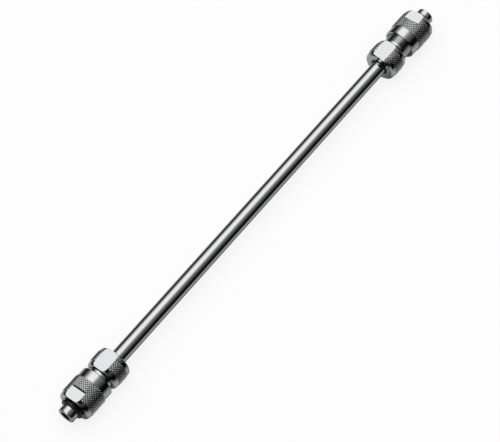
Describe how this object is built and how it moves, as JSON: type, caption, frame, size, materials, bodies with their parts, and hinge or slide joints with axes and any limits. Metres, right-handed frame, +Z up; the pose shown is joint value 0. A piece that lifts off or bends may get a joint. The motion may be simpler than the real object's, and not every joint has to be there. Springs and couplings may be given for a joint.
{
  "type": "hplc column",
  "caption": "Slim steel tube column with a knurled union and swivel cap nut at each end, each with a capillary port.",
  "frame": {"origin": "under the middle of the whole length, on the surface that the column lies on", "axes": "+X along the column from the outlet to the inlet, +Z up and square to the spanner flats"},
  "size_m": [0.2882, 0.0186, 0.0186],
  "materials": {
    "tube_steel": "polished, with the lines of a drawn tube",
    "knurled_steel": "knurled and turned",
    "turned_steel": "fine turned",
    "sintered_steel": "sintered, dull",
    "peek": "machined",
    "seal_polymer": "smooth",
    "packing": "fine powder",
    "rubber": "satin moulded"
  },
  "bodies": {
    "column": {"column_tube": "tube_steel", "packed_bed": "packing", "frit_outlet": "sintered_steel", "frit_ring_outlet": "peek", "end_insert_outlet": "turned_steel", "cup_seal_outlet": "seal_polymer", "split_ring_a_outlet": "turned_steel", "split_ring_b_outlet": "turned_steel", "frit_inlet": "sintered_steel", "frit_ring_inlet": "peek", "end_insert_inlet": "turned_steel", "cup_seal_inlet": "seal_polymer", "split_ring_a_inlet": "turned_steel", "split_ring_b_inlet": "turned_steel", "guard_cartridge": "peek", "guard_bed": "packing"},
    "union_body_outlet": {"union_outlet": "knurled_steel"},
    "connector_body_outlet": {"connector_outlet": "turned_steel", "oring_outlet": "rubber"},
    "nut_body_outlet": {"cap_nut_outlet": "knurled_steel"},
    "union_body_inlet": {"union_inlet": "knurled_steel"},
    "connector_body_inlet": {"connector_inlet": "turned_steel", "oring_inlet": "rubber"},
    "nut_body_inlet": {"cap_nut_inlet": "knurled_steel"}
  },
  "joints": [
    {"name": "union_turn_outlet", "type": "hinge", "parent": "column", "child": "union_body_outlet", "pos_m": [-0.11275, 0, 0.0093], "axis": [-1, 0, 0], "continuous": true},
    {"name": "connector_draw_outlet", "type": "slide", "parent": "union_body_outlet", "child": "connector_body_outlet", "axis": [-1, 0, 0], "range_m": [0, 0.009]},
    {"name": "nut_turn_outlet", "type": "hinge", "parent": "connector_body_outlet", "child": "nut_body_outlet", "pos_m": [-0.1372, 0, 0.0093], "axis": [-1, 0, 0], "range_deg": [0, 3240]},
    {"name": "union_turn_inlet", "type": "hinge", "parent": "column", "child": "union_body_inlet", "pos_m": [0.10875, 0, 0.0093], "axis": [1, 0, 0], "continuous": true},
    {"name": "connector_draw_inlet", "type": "slide", "parent": "union_body_inlet", "child": "connector_body_inlet", "axis": [1, 0, 0], "range_m": [0, 0.005]},
    {"name": "nut_turn_inlet", "type": "hinge", "parent": "connector_body_inlet", "child": "nut_body_inlet", "pos_m": [0.1372, 0, 0.0093], "axis": [1, 0, 0], "range_deg": [0, 1800]}
  ],
  "couplings": [
    {"joint": "connector_draw_outlet", "follows": "nut_turn_outlet", "m_per_rad": 0.00015915},
    {"joint": "connector_draw_inlet", "follows": "nut_turn_inlet", "m_per_rad": 0.00015915}
  ]
}
